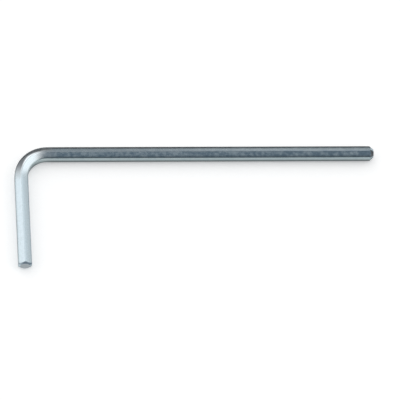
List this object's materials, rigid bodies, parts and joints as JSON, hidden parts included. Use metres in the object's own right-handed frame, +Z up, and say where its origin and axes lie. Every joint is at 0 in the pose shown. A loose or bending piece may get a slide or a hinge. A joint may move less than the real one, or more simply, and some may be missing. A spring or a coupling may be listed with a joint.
{
  "type": "hex key",
  "caption": "L-shaped hex key of bright plated steel hexagon bar, with a coned flat-ended tip on each arm, for turning socket-head screws.",
  "frame": {"origin": "centre of the bounding box in X and Y, on the surface that the key lies on", "axes": "+X runs along the long arm to its tip, the short arm points to -Y, and +Z is up, square to the plane of the bend"},
  "size_m": [0.043, 0.0156, 0.0018],
  "materials": {
    "plated_steel": "bright plated steel, bluish, drawn along the bar, slightly uneven"
  },
  "bodies": {
    "root": {"hex_key": "plated_steel"}
  },
  "joints": []
}
